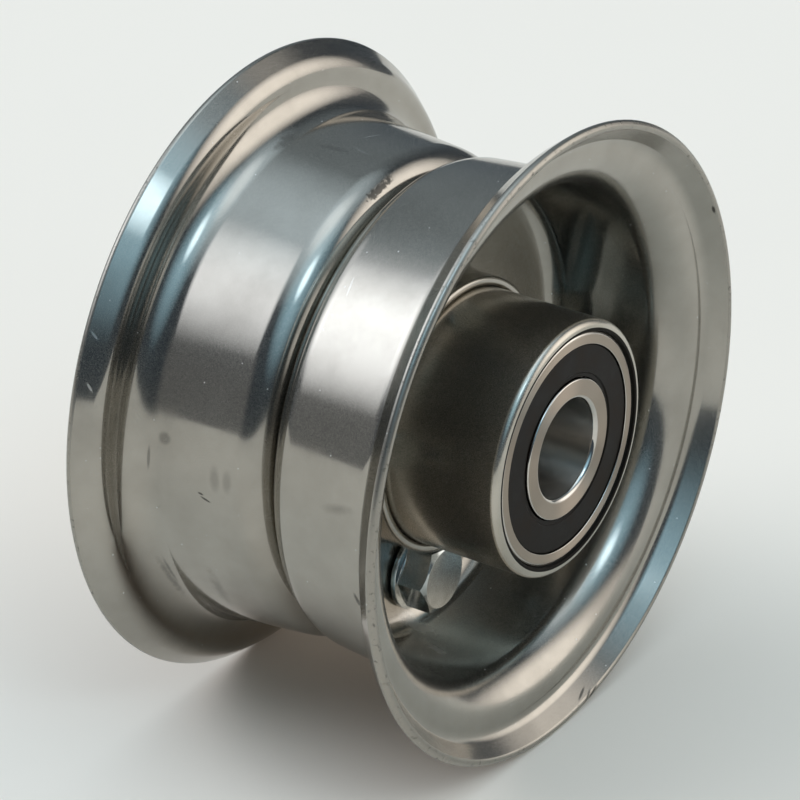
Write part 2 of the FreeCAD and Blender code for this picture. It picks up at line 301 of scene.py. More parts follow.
def lathe(name: str, section: Section, columns: int, shift: float = 0.0, mirror: bool = False,
          edge: np.ndarray | None = None) -> Object:
    """Turn a closed section about the spin axis.

    A section point (r, h) at turn a goes to (r cos a, h, r sin a), and its normal turns with it. Each
    point also stores cos a, sin a and its length along the section, for patterns that run round.

    Args:
        name: Name of the piece.
        section: Points and outward normals.
        columns: Steps round the axis.
        shift: Distance to move the section along the spin axis, after any mirroring.
        mirror: Whether the section is mirrored across its own zero height.
        edge: Share of sheared or dulled steel at each section point, from 0 to 1, or the value that paints
            shade into a gap, or HONED.

    Returns:
        The new object.
    """
    points, normals = section
    bare = np.zeros(len(points)) if edge is None else edge
    if mirror:
        points, normals, bare = points[::-1] * (1, -1), normals[::-1] * (1, -1), bare[::-1]
    turn = np.linspace(0, 2 * math.pi, columns, endpoint=False)
    cosine, sine = np.cos(turn)[None, :], np.sin(turn)[None, :]
    length = np.concatenate([[0], np.cumsum(np.linalg.norm(np.diff(points, axis=0), axis=1))])
    level, rise = np.ones((1, columns)), np.ones((len(points), 1))
    radius, height = points[:, :1], points[:, 1:] + shift
    places = np.stack([radius * cosine, height * level, radius * sine], -1) * MM
    facing = np.stack([normals[:, :1] * cosine, normals[:, 1:] * level, normals[:, :1] * sine], -1)
    turned = np.stack([cosine * rise, sine * rise, length[:, None] * level * MM], -1)
    mesh = ring_mesh(name, places[None], True, True)
    mesh.attributes.new(TURNED, "FLOAT_VECTOR", "POINT").data.foreach_set("vector", turned.ravel())
    mesh.attributes.new(EDGE_AND_SHADE, "FLOAT", "POINT").data.foreach_set("value", (bare[:, None] * level).ravel())
    mesh.normals_split_custom_set_from_vertices(facing.reshape(-1, 3))
    return place_mesh(name, mesh)


def place_mesh(name: str, mesh: Mesh) -> Object:
    """Link a mesh to the scene as an object at the origin.

    Args:
        name: Name of the piece.
        mesh: Its mesh.

    Returns:
        The new object.
    """
    piece = bpy.data.objects.new(name, mesh)
    bpy.context.scene.collection.objects.link(piece)
    return piece


def dress(piece: Object, material: Material, body: Body, node: str) -> None:
    """Give a new piece its finish and its body, and hide the CAD node that it stands for.

    Args:
        piece: The new piece.
        material: Its finish.
        body: Body that it rides on.
        node: CAD node that it replaces.
    """
    piece.data.materials.append(material)
    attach(piece, body.value)
    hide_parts(node)
    log.info("%s: %d faces, replaces %s", piece.name, len(piece.data.polygons), node)


# Finishes


@dataclass(frozen=True)
class Mark:
    """Rub, scuff or scratch on the steel, along a straight stroke between two places on its surface.

    The width is half the stroke's breadth, the breaks say how ragged it is and the softness how slowly it
    fades at its edge.
    """

    start: Place
    end: Place
    width: float
    strength: float
    breaks: float = 0.0
    softness: float = 0.5

    def mask(self, add: Adder, place: NodeSocket, ragged: Node) -> Node:
        """Share of the mark at a place: full in the middle of a long ellipsoid and nothing at its skin.

        The noise, times the breaks, first comes off the distance from the middle.

        Args:
            add: Adds a node to the tree.
            place: Object coordinates.
            ragged: Noise that breaks the mark up.

        Returns:
            Node of the share.
        """
        start, end = Vector(self.start) * MM, Vector(self.end) * MM
        stroke, width = end - start, self.width * MM
        turn = Vector((1, 0, 0)).rotation_difference(stroke) if stroke.length else Quaternion()
        local = add("Mapping", {"Vector": place, "Location": (start + end) / 2, "Rotation": turn.to_euler(),
                                "Scale": (stroke.length / 2 + width, width, width)}, vector_type="TEXTURE")
        away = add("VectorMath", {0: local}, operation="LENGTH").outputs["Value"]
        worn = add("Math", {0: ragged, 1: -self.breaks, 2: away}, operation="MULTIPLY_ADD")
        skin = 1 - self.breaks / 2
        return add("MapRange", {"Value": worn, "From Min": skin - self.softness, "From Max": skin,
                                "To Min": self.strength, "To Max": 0.0})


@dataclass(frozen=True)
class SteelFinish:
    """Bare bright steel: a slightly wavering mirror, broken by lines, film, rubs and scratches.

    Lines run round with the drawing or grinding, pits too fine to see veil the mirror, and an oil film
    hazes it in patches. A fan above zero spreads reflections across the lines. Sizes, pitches and depths
    are millimetres, and shares and levels of noise run from 0 to 1.
    """

    name: str
    clean: str
    filmed: str
    clear_roughness: float
    hazy_roughness: float
    line_pitch: float
    line_depth: float
    line_wander: float = 2.0
    wave_pitch: float = 7.0
    wave_depth: float = 0.0
    wave_wander: float = 0.8
    dents_per_wave: float = 0.6
    film_size: float = 16.0
    scratch_share: float = 0.0
    scratch_size: Place = (0.4545, 7.692, 11.11)
    scratch_levels: tuple[float, float] = (0.71, 0.82)
    scratch_cut: float = -1.5
    scratch_roughness: float = 0.25
    pit_size: float = 0.06
    pit_level: float = 0.6075
    pit_fade: float = 0.03
    pit_roughness: float = 0.45
    scuffs: tuple[Mark, ...] = ()
    # Dark of scuffs and nicks, also used to paint shade into the gaps round the bearings
    scuff_and_shade_colour: str = "#24211e"
    rubs: tuple[Mark, ...] = ()
    rub_colour: str = "#dad8d3"
    ragged_size: float = 1.111
    dust_pitch: float = 0.0
    dust_size: float = 0.065
    wear_roughness: float = 0.35
    edge_colour: str = "#b0aca4"
    edge_roughness: float = 0.22
    fan: float = 0.0
    runs_round: bool = True

    def material(self) -> Material:
        """Build the node material.

        Scratches are the highest parts of a noise drawn out along one direction.

        Returns:
            A material that reads Object coordinates and the piece's own turned and edge attributes.
        """
        made = bpy.data.materials.new(self.name)
        add = node_adder(made)
        place = add("TexCoord").outputs["Object"]
        rates = [1 / (size * MM) for size in self.scratch_size]
        lie = add("Mapping", {"Vector": place, "Rotation": (0.4, 0.9, 0.2), "Scale": rates})
        noise = add("TexNoise", {"Vector": lie, "Scale": 1.0})
        low, high = self.scratch_levels
        scratched = add("MapRange", {"Value": noise, "From Min": low, "From Max": high,
                                     "To Max": self.scratch_share})
        tint, rough = self.skin(add, place, scratched)
        sockets = {"Base Color": tint, "Metallic": 1.0, "Roughness": rough,
                   "Normal": self.relief(add, place, scratched)}
        if self.fan:
            lines = add("VectorMath", {0: place, 1: (0.0, 1.0, 0.0)}, operation="CROSS_PRODUCT")
            turned = add("VectorTransform", {"Vector": lines}, convert_from="OBJECT", convert_to="WORLD")
            sockets |= {"Anisotropic": self.fan, "Anisotropic Rotation": 0.25, "Tangent": turned}
        add("OutputMaterial", {"Surface": add("BsdfPrincipled", sockets)})
        return made

    def skin(self, add: Adder, place: NodeSocket, scratched: Node) -> tuple[NodeSocket, Node]:
        """Colour and roughness of the steel.

        Film, sheared edges, painted shade in the gaps between parts and wear each mix a colour over those
        below by their share. Pits set a least roughness, and scratches, dulled steel and wear add to it by
        share.

        Args:
            add: Adds a node to the tree.
            place: Object coordinates.
            scratched: Share of scratches.

        Returns:
            Sources of the colour and the roughness.
        """
        edge = add("Attribute", attribute_name=EDGE_AND_SHADE).outputs["Fac"]
        film = add("TexNoise", {"Vector": place, "Scale": 1 / (self.film_size * MM), "Detail": 7.0,
                                "Roughness": 0.6})
        levels = ((film, FILM_LEVELS), (edge, BARE_LEVELS), (edge, PAINTED_SHADE_LEVELS))
        hazy, bare, seam = (add("MapRange", {"Value": value, "From Min": low, "From Max": high})
                            for value, (low, high) in levels)
        pits = add("TexNoise", {"Vector": place, "Scale": 1 / (self.pit_size * MM), "Detail": 1.0})
        pitted = add("MapRange", {"Value": pits, "From Min": self.pit_level - self.pit_fade,
                                  "From Max": self.pit_level + self.pit_fade, "To Max": self.pit_roughness})
        rough = add("MapRange", {"Value": hazy, "To Min": self.clear_roughness,
                                 "To Max": self.hazy_roughness})
        rough = add("Math", {0: rough, 1: pitted}, operation="MAXIMUM")
        worn = self.wear(add, place, bare)
        tint = linear(self.clean)
        # Painted shade: the gap share darkens the steel with the scuff colour where the gap round a bearing
        # lies in shade
        coats = [(hazy, self.filmed), (bare, self.edge_colour), (seam, self.scuff_and_shade_colour), *worn]
        for share, colour in coats:
            tint = add("Mix", {"Factor": share, 6: tint, 7: linear(colour)}, data_type="RGBA").outputs[2]
        dulled = add("Math", {0: edge}, operation="ABSOLUTE")
        dull = [(scratched, self.scratch_roughness), (dulled, self.edge_roughness)]
        for share, amount in dull + [(share, self.wear_roughness) for share, _ in worn]:
            rough = add("Math", {0: share, 1: amount, 2: rough}, operation="MULTIPLY_ADD")
        return tint, rough

    def relief(self, add: Adder, place: NodeSocket, scratched: Node) -> Node:
        """Normal of the wavering steel, with its fine lines and scratches on top.

        Lines and waves are noise along the section's length that changes little round the axis, or noise
        in space on a piece without a turn. Dents are noise in space, added to the waves.

        Args:
            add: Adds a node to the tree.
            place: Object coordinates.
            scratched: Share of scratches.

        Returns:
            Node of the normal.
        """
        along, fine, swell = place, 1 / (self.line_pitch * MM), 1 / (self.wave_pitch * MM)
        rates = [(fine, fine, fine), (swell, swell, swell)]
        if self.runs_round:
            along = add("Attribute", attribute_name=TURNED).outputs["Vector"]
            rates = [(self.line_wander, self.line_wander, fine), (self.wave_wander, self.wave_wander, swell)]
        fine_place, swell_place = (add("Mapping", {"Vector": along, "Scale": rate}) for rate in rates)
        lines = add("TexNoise", {"Vector": fine_place, "Scale": 1.0, "Detail": 4.0, "Roughness": 0.6})
        waves = add("TexNoise", {"Vector": swell_place, "Scale": 1.0, "Detail": 1.0})
        dents = add("TexNoise", {"Vector": place, "Scale": self.dents_per_wave * swell, "Detail": 1.5})
        swollen = add("Math", {0: waves, 1: dents})
        normal = add("Bump", {"Height": swollen, "Distance": self.wave_depth * MM})
        ridges = add("Math", {0: scratched, 1: self.scratch_cut, 2: lines}, operation="MULTIPLY_ADD")
        return add("Bump", {"Height": ridges, "Distance": self.line_depth * MM, "Normal": normal})

    def wear(self, add: Adder, place: NodeSocket, bare: Node) -> list[tuple[Node, str]]:
        """Shares of dark scuffs, light rubs, nicked edges and dust, each with its colour.

        The marks of one colour join as the largest of their shares. A speck of dust is the part of a
        Voronoi cell nearer to the cell's own point than a random small distance.

        Args:
            add: Adds a node to the tree.
            place: Object coordinates.
            bare: Share of sheared edge.

        Returns:
            Pairs of share and colour. A finish without wear has none.
        """
        layers = []
        if self.scuffs or self.rubs:
            ragged = add("TexNoise", {"Vector": place, "Scale": 1 / (self.ragged_size * MM), "Detail": 4.0,
                                      "Roughness": 0.7})
            for marks, colour in ((self.scuffs, self.scuff_and_shade_colour), (self.rubs, self.rub_colour)):
                shares = [mark.mask(add, place, ragged) for mark in marks]
                for other in shares[1:]:
                    shares[0] = add("Math", {0: shares[0], 1: other}, operation="MAXIMUM")
                layers += [(share, colour) for share in shares[:1]]
            nicks = add("MapRange", {"Value": ragged, "From Min": 0.58, "From Max": 0.68, "To Max": 0.5})
            layers.append((add("Math", {0: nicks, 1: bare}, operation="MULTIPLY"), self.scuff_and_shade_colour))
        if self.dust_pitch:
            cells = add("TexVoronoi", {"Vector": place, "Scale": 1 / (self.dust_pitch * MM)})
            size = add("Math", {0: cells.outputs["Color"], 1: self.dust_size}, operation="MULTIPLY")
            speck = add("Math", {0: cells.outputs["Distance"], 1: size}, operation="LESS_THAN")
            layers.append((speck, self.rub_colour))
        return layers


@dataclass(frozen=True)
class RubberFinish:
    """Moulded nitrile rubber: a dark brown-black satin with a fine matt grain and a little dust.

    Sizes and depths are millimetres.
    """

    name: str
    rubber: str
    dust: str
    grain: float
    roughness: float
    cloud_size: float = 5.556

    def material(self) -> Material:
        """Build the node material.

        Returns:
            A material that reads Object coordinates.
        """
        made = bpy.data.materials.new(self.name)
        add = node_adder(made)
        place = add("TexCoord").outputs["Object"]
        grain = add("TexNoise", {"Vector": place, "Scale": 1 / (self.grain * MM), "Detail": 3.0})
        cloud = add("TexNoise", {"Vector": place, "Scale": 1 / (self.cloud_size * MM), "Detail": 6.0,
                                 "Roughness": 0.65})
        dusty = add("MapRange", {"Value": cloud, "From Min": 0.45, "From Max": 0.75, "To Max": 0.55})
        tint = add("Mix", {"Factor": dusty, 6: linear(self.rubber), 7: linear(self.dust)}, data_type="RGBA")
        rough = add("MapRange", {"Value": cloud, "From Min": 0.3, "From Max": 0.7,
                                 "To Min": self.roughness - 0.1, "To Max": self.roughness + 0.1})
        bump = add("Bump", {"Height": grain, "Strength": 0.6, "Distance": 0.02 * MM})
        shader = add("BsdfPrincipled", {"Base Color": tint.outputs[2], "Roughness": rough, "IOR": 1.45,
                                        "Specular IOR Level": 0.12, "Normal": bump})
        add("OutputMaterial", {"Surface": shader})
        return made


@dataclass(frozen=True)
class PaperFinish:
    """Matt studio paper: one even pale tone with the faintest mottle, its size in millimetres."""

    name: str
    paper: str
    shade: str
    mottle_size: float = 166.7

    def material(self) -> Material:
        """Build the node material.

        Returns:
            A material that reads Object coordinates.
        """
        made = bpy.data.materials.new(self.name)
        add = node_adder(made)
        place = add("TexCoord").outputs["Object"]
        mottle = add("TexNoise", {"Vector": place, "Scale": 1 / (self.mottle_size * MM), "Detail": 4.0})
        tint = add("Mix", {"Factor": mottle, 6: linear(self.paper), 7: linear(self.shade)}, data_type="RGBA")
        shader = add("BsdfPrincipled", {"Base Color": tint.outputs[2], "Roughness": 0.9,
                                        "Specular IOR Level": 0.1})
        add("OutputMaterial", {"Surface": shader})
        return made


# Sub-assemblies


@dataclass
class RimHalf:
    """One pressed rim half: collar, disc, rounded well, tapered bead seat, flange and flared lip."""

    side: Side
    sheet: float = 2.0
    bead_seat_radius: float = 50.8
    bead_seat_share: float = 0.62
    seat_taper: float = math.radians(5)
    channel_half: float = 29.0
    lip_start: float = 0.7
    lip_angle: float = math.radians(38)
    collar_inner: float = 25.8
    collar_reach: float = 12.2
    collar_bend: float = 1.0
    well_bend: float = 4.5
    bead_bend: float = 6.5
    lip_bend: float = 3.0
    flange_rounding: float = 0.9
    collar_rounding: float = 0.9
    dish_dullness: float = 0.3
    bend_steps: int = 20
    columns: int = 480

    @property
    def node(self) -> str:
        """CAD node that this half stands for."""
        return f"{self.side.label}_rim_half"

    def section(self) -> tuple[np.ndarray, np.ndarray, np.ndarray]:
        """Section of the sheet: two faces offset from one middle line, joined by sheared edges.

        The middle line runs along the collar and the disc, climbs the bead seat by the tangent of its taper,
        and goes up the flange to the crease, where it leans out by the lip's angle.

        Returns:
            Points, outward normals and the share of sheared or dulled steel at each point.
        """
        half = self.sheet / 2
        slope = math.tan(self.seat_taper)
        barrel = self.bead_seat_radius - self.bead_seat_share * self.channel_half * slope
        barrel -= half / math.cos(self.seat_taper)
        riser = self.channel_half + half
        # What the rounding takes off the height of the lip's outer corner
        loss = self.flange_rounding * (math.sin(self.lip_angle) + math.cos(self.lip_angle) - 1)
        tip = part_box(self.node)[1].x / MM - half * math.cos(self.lip_angle) + loss
        bead = barrel + riser * slope
        crease = bead + self.lip_start * (tip - bead)
        collar, lean = self.collar_inner + half, (tip - crease) / math.tan(self.lip_angle)
        middle = np.array([(collar, self.collar_reach), (collar, half), (barrel + half * slope, half),
                           (bead, riser), (crease, riser), (tip, riser + lean)])
        start, end = middle[1] - middle[0], middle[-1] - middle[-2]
        start, end = start / np.linalg.norm(start), end / np.linalg.norm(end)
        middle[0] += start * self.collar_rounding
        middle[-1] -= end * self.flange_rounding
        bends = [bend + half for bend in (self.collar_bend, self.well_bend, self.bead_bend, self.lip_bend)]
        line, along = rounded_run(list(middle), [0, *bends, 0], False, self.bend_steps)
        side = np.stack([-along[:, 1], along[:, 0]], 1)
        lip, lip_normals = cut_edge(line[-1], end, side[-1], half, self.flange_rounding)
        foot, foot_normals = cut_edge(line[0], -start, -side[0], half, self.collar_rounding)
        points = np.concatenate([line + side * half, lip[1:-1], (line - side * half)[::-1], foot[1:-1]])
        normals = np.concatenate([side, lip_normals[1:-1], -side[::-1], foot_normals[1:-1]])
        face = np.ones(len(line))
        edge = np.concatenate([face * self.dish_dullness, np.ones(len(lip) - 2), face * 0,
                               np.ones(len(foot) - 2) * self.dish_dullness])
        return anticlockwise(points, normals, edge)

    def build(self, steel: Material) -> None:
        """Turn the section into the half's shell and dress it.

        Args:
            steel: Finish of the sheet.
        """
        points, normals, edge = self.section()
        shell = lathe(f"{self.side.label}_rim_pressing", (points, normals), self.columns,
                      mirror=self.side is Side.FRONT, edge=edge)
        dress(shell, steel, Body.RIM, self.node)


@dataclass
class HubTube:
    """Steel tube through both discs, bored for a bearing at each end, with rounded mouths.

    The inner edge of each mouth is painted dark, a painted shade of the gap round the bearing.
    """

    seat_radius: float = 23.5
    seat_depth: float = 14.4
    shoulder: float = 1.0
    mouth_rounding: float = 1.5
    mouth_chamfer: float = 0.3
    seat_rounding: float = 0.2
    # Width of the painted shade at each mouth's inner edge
    seam: float = 0.7
    edge_steps: int = 12
    columns: int = 320
    node: str = "hub_tube"

    def build(self, steel: Material) -> None:
        """Turn the tube's section and dress the tube.

        Args:
            steel: Finish of the tube.
        """
        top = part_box(self.node)[1]
        radius, half = top.x / MM, top.y / MM
        neck, bored = self.seat_radius - self.shoulder, half - self.seat_depth
        shade_reach = self.seat_radius + self.seam
        upper = [(radius, half), (shade_reach, half), (self.seat_radius, half), (self.seat_radius, bored),
                 (neck, bored)]
        lower = [(r, -h) for r, h in reversed(upper)]
        rounding = [self.mouth_rounding, 0.0, self.mouth_chamfer, self.seat_rounding, self.seat_rounding]
        points, normals = solid_section(upper + lower, rounding + rounding[::-1], self.edge_steps)
        at_mouth = np.abs(points[:, 1]) > half - self.mouth_chamfer - CLOSE
        # Painted shade on the mouth's inner edge, beside the bearing
        edge = np.where(at_mouth & (points[:, 0] < shade_reach + CLOSE), PAINTED_SHADE, 0.0)
        tube = lathe("hub_tube_drawn", (points, normals), self.columns, edge=edge)
        dress(tube, steel, Body.RIM, self.node)


@dataclass
class SealedBearing:
    """Deep-groove ball bearing with a rubber seal on each face.

    The rings' faces are ground, the bore is honed, and the outer ring's corner is painted dark, a painted
    shade of the gap at the hub's mouth.
    """

    side: Side
    centre: float = 29.6
    half_width: float = 7.0
    bore_radius: float = 10.0
    corner: float = 1.0
    pitch_radius: float = 16.75
    ball_radius: float = 3.969
    groove_radius: float = 4.128
    inner_shoulder: float = 14.1
    outer_shoulder: float = 19.4
    seal_seat: float = 20.9
    seal_face: float = 6.7
    seal_thickness: float = 1.2
    seal_step: float = 0.25
    seal_fit: float = 0.05
    lip_width: float = 1.0
    lip_gap: float = 0.2
    arris: float = 0.12
    shoulder_rounding: float = 0.3
    seal_rounding: float = 0.1
    # Width of the painted shade on the outer ring's corner
    seam: float = 0.3
    ground_from: float = 0.8
    groove_points: int = 15
    seal_steps: int = 6
    columns: int = 300
    bore_columns: int = 240

    def groove(self, shoulder: float, outward: int) -> list[Corner]:
        """Points of a ball groove: an arc of the groove's radius, from shoulder to shoulder.

        Args:
            shoulder: Radius of the ring beside the groove.
            outward: 1 for the outer ring and -1 for the inner.

        Returns:
            Points in order of rising turn about the arc's centre.
        """
        centre = self.pitch_radius + outward * (self.ball_radius - self.groove_radius)
        reach = math.acos(abs(shoulder - centre) / self.groove_radius)
        spread = reach * np.linspace(-1, 1, self.groove_points)
        radius = centre + outward * self.groove_radius * np.cos(spread)
        return list(zip(radius, outward * self.groove_radius * np.sin(spread)))

    def outer_ring(self) -> Section:
        """Section of the outer ring, with a seat for a seal at each face."""
        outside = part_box(f"{self.side.label}_outer_ring")[1].x / MM
        face, ledge = self.half_width, self.seal_face - self.seal_thickness - self.seal_fit
        groove = self.groove(self.outer_shoulder, 1)
        upper = [(self.outer_shoulder, ledge), (self.seal_seat, ledge), (self.seal_seat, face),
                 (outside, face)]
        lower = [(r, -h) for r, h in reversed(upper)]
        rounding = [self.arris, self.arris, self.arris, self.corner]
        return solid_section(groove + upper + lower, [0.0] * len(groove) + rounding + rounding[::-1])

    def inner_ring(self) -> Section:
        """Section of the inner ring, with rounded corners at the bore."""
        face, bore = self.half_width, self.bore_radius
        groove = self.groove(self.inner_shoulder, -1)
        ends = [(self.inner_shoulder, -face), (bore, -face), (bore, face), (self.inner_shoulder, face)]
        rounding = [self.shoulder_rounding, self.corner, self.corner, self.shoulder_rounding]
        return solid_section(groove + ends, [0.0] * len(groove) + rounding)

    def outer_seal(self) -> Section:
        """Section of the seal: a flat web with a thinner lip at the inner ring."""
        lip = self.inner_shoulder + self.lip_gap
        rim = self.seal_seat - self.seal_fit
        back = self.seal_face - self.seal_thickness
        low = self.seal_face - self.seal_step
        web = lip + self.lip_width
        corners = [(lip, back + self.seal_step), (lip, low), (web - self.seal_step, low),
                   (web, self.seal_face), (rim - self.seal_step, self.seal_face), (rim, low), (rim, back),
                   (web, back)]
        return solid_section(corners, [self.seal_rounding] * len(corners), self.seal_steps)

    def build(self, steel: Material, rubber: Material) -> None:
        """Turn the rings and the outer seal, and dress them.

        A ring's share of ground face rises with how squarely its normal lies along the axis.

        Args:
            steel: Finish of the rings.
            rubber: Finish of the seal.
        """
        label, shift = self.side.label, self.side.value * self.centre
        mirror = self.side is Side.FRONT
        outer_section, inner_section = self.outer_ring(), self.inner_ring()
        outer_edge, inner_edge = (np.interp(np.abs(normals[:, 1]), (self.ground_from, 1), (0, 1))
                                  for _, normals in (outer_section, inner_section))
        outer_radius, inner_radius = outer_section[0][:, 0], inner_section[0][:, 0]
        # Painted shade on the outer ring's corner, in the gap against the hub's mouth
        outer_edge[outer_radius > outer_radius.max() - self.seam] = PAINTED_SHADE
        inner_edge[inner_radius < self.bore_radius + CLOSE] = HONED
        outer = lathe(f"{label}_outer_race", outer_section, self.columns, shift, mirror, outer_edge)
        dress(outer, steel, Body.RIM, f"{label}_outer_ring")
        inner = lathe(f"{label}_inner_race", inner_section, self.bore_columns, shift, mirror, inner_edge)
        dress(inner, steel, Body.CORE, f"{label}_inner_ring")
        seal = lathe(f"{label}_lip_seal", self.outer_seal(), self.columns, shift, mirror)
        dress(seal, rubber, Body.RIM, f"{label}_outer_seal")


@dataclass
class FlangedFasteners:
    """Flanged hexagon bolts through both discs, and flanged nuts on the rear one."""

    count: int = 4
    start_angle: float = math.radians(-93.5)
    circle: float = 36.15
    sheet: float = 2.0
    thread_radius: float = 4.0
    thread_pitch: float = 1.25
    thread_depth: float = 0.6
    thread_runout: float = 0.2
    thread_rows: int = 90
    end_reach: float = 2.0
    end_chamfer: float = 0.8
    across_flats: float = 13.0
    chamfer_slope: float = math.tan(math.radians(30))
    chamfer_share: float = 0.95
    head_height: float = 7.8
    nut_height: float = 8.0
    flange_radius: float = 8.2
    seat_radius: float = 7.0
    flange_lift: float = 0.6
    flange_rim: float = 0.9
    skirt_height: float = 3.2
    skirt_top_share: float = 0.97
    skirt_foot: float = 0.35
    skirt_taper: float = 0.1
    skirt_end: Corner = (0.8, 0.7)
    skirt_bends: tuple[float, ...] = (0, 0.25, 0.35, 1.1, 0, 0)
    skirt_steps: int = 6
    side_rows: int = 8
    chamfer_rows: int = 5
    blend: float = 40.0
    edge_bevel: float = 0.18
    sharp_angle: float = math.radians(22)
    columns: int = 96

    def turns(self) -> np.ndarray:
        """Turn of each column about the bolt's own axis, one column on each hexagon corner."""
        return np.linspace(0, 2 * math.pi, self.columns, endpoint=False)[None, :]

    def hexagon(self, height: float) -> tuple[np.ndarray, np.ndarray]:
        """Rings of a flanged hexagon, from its seat to the edge of its flat top.

        The hexagon's radius at a turn is half its flats over the cosine of the turn from the middle of the
        nearest side. The skirt and the hexagon join as the high power mean of their radii, and the
        chamfer drops from the flat top in proportion to how far a point lies outside it.

        Args:
            height: Height of the flat top over the seat.

        Returns:
            Radius and height of each point, shape (rows, columns).
        """
        third = math.pi / 3
        across = self.across_flats / 2 / np.cos((self.turns() + third / 2) % third - third / 2)
        top = self.chamfer_share * self.across_flats / 2
        brow = height - (across - top) * self.chamfer_slope
        rim = self.flange_lift + self.flange_rim
        neck = self.skirt_top_share * self.across_flats / 2
        sunk, risen = self.skirt_end
        flange = [(self.seat_radius, 0.0), (self.flange_radius, self.flange_lift), (self.flange_radius, rim),
                  (neck, rim + self.skirt_foot), (neck - self.skirt_taper, self.skirt_height),
                  (neck - sunk, self.skirt_height + risen)]
        run, _ = rounded_run(flange, list(self.skirt_bends), False, self.skirt_steps)
        skirt = (run[:, :1] ** self.blend + across ** self.blend) ** (1 / self.blend)
        level = np.ones_like(across)
        climb = np.linspace(0, 1, self.side_rows)[1:, None]
        slant = np.linspace(0, 1, self.chamfer_rows)[1:, None]
        side_heights = run[-1, 1] + climb * (brow - run[-1, 1])
        radius = np.concatenate([skirt, across * np.ones_like(climb), across + slant * (top - across)])
        heights = np.concatenate([run[:, 1:] * level, side_heights, brow + slant * (height - brow)])
        return radius, heights

    def shank(self) -> tuple[np.ndarray, np.ndarray]:
        """Rings of the shank, from its end up to the seat, with a rounded helical thread.

        The thread's radius falls below the outer radius by half the depth times one minus the cosine of
        height over pitch less the turn, and the end is cut back by a chamfer.

        Returns:
            Radius and height of each point, shape (rows, columns).
        """
        length = 2 * self.sheet + self.nut_height + self.end_reach
        heights = np.linspace(-length, -2 * self.sheet, self.thread_rows)[:, None]
        phase = 2 * math.pi * heights / self.thread_pitch - self.turns()
        thread = self.thread_radius - self.thread_depth / 2 * (1 - np.cos(phase))
        chamfered = self.thread_radius - self.end_chamfer + (heights + length)
        radius = np.minimum(thread, chamfered)
        plain = np.full((2, self.columns), self.thread_radius)
        neck = np.array([[-2 * self.sheet + self.thread_runout], [0.0]])
        level = np.ones_like(self.turns())
        return np.concatenate([radius, plain]), np.concatenate([heights * level, neck * level])

    def at_bolts(self, radius: np.ndarray, heights: np.ndarray, side: Side) -> np.ndarray:
        """Stand a stack of rings at each bolt, a flat facing the spin axis.

        Args:
            radius: Radius of each point from the bolt's axis.
            heights: Height of each point over the disc.
            side: Side of the wheel that the rings stand on.

        Returns:
            Points in metres, shape (count, rows, columns, 3).
        """
        angle = (self.start_angle + np.arange(self.count) * 2 * math.pi / self.count)[:, None, None]
        out = self.circle + radius * np.cos(self.turns())
        across = radius * np.sin(self.turns())
        level = side.value * (self.sheet + heights) * np.ones_like(angle)
        spots = [out * np.cos(angle) - across * np.sin(angle), level,
                 out * np.sin(angle) + across * np.cos(angle)]
        return np.stack(spots, -1) * MM

    def build(self, plate: Material) -> None:
        """Make the bolts and the nuts, ease their sharp edges and dress them.

        Args:
            plate: Finish of both.
        """
        shank, head = self.shank(), self.hexagon(self.head_height)
        radius, heights = (np.concatenate(pair) for pair in zip(shank, head))
        bolts = ring_mesh("rim_bolt_set", self.at_bolts(radius, heights, Side.FRONT), False)
        radius, heights = self.hexagon(self.nut_height)
        bore = np.full((2, self.columns), self.thread_radius)
        mouth = np.array([[self.nut_height], [0.0]]) * np.ones_like(self.turns())
        radius, heights = np.concatenate([radius, bore]), np.concatenate([heights, mouth])
        nuts = ring_mesh("rim_nut_set", self.at_bolts(radius, heights, Side.REAR), True, True)
        for mesh, node in ((bolts, "rim_bolts"), (nuts, "rim_nuts")):
            piece = place_mesh(mesh.name, mesh)
            mesh.set_sharp_from_angle(angle=self.sharp_angle)
            bevel = piece.modifiers.new("eased edges", "BEVEL")
            bevel.width = self.edge_bevel * MM
            bevel.segments = 2
            bevel.limit_method = "ANGLE"
            bevel.angle_limit = self.sharp_angle
            dress(piece, plate, Body.RIM, node)


@dataclass(frozen=True)
class Haze:
    """Soft patch of light on the walls of the room, full within its core and faded out at its reach.

    Angles are in degrees. The azimuth runs from -Y towards +X, and a glow of 1 shows as white.
    """

    name: str
    azimuth: float
    elevation: float
    colour: str
    glow: float
    core: float
    reach: float
    fall: float = 1.0

    def direction(self) -> tuple[float, float, float]:
        """Unit vector towards the middle of the patch."""
        azimuth, elevation = math.radians(self.azimuth), math.radians(self.elevation)
        level = math.cos(elevation)
        return math.sin(azimuth) * level, -math.cos(azimuth) * level, math.sin(elevation)


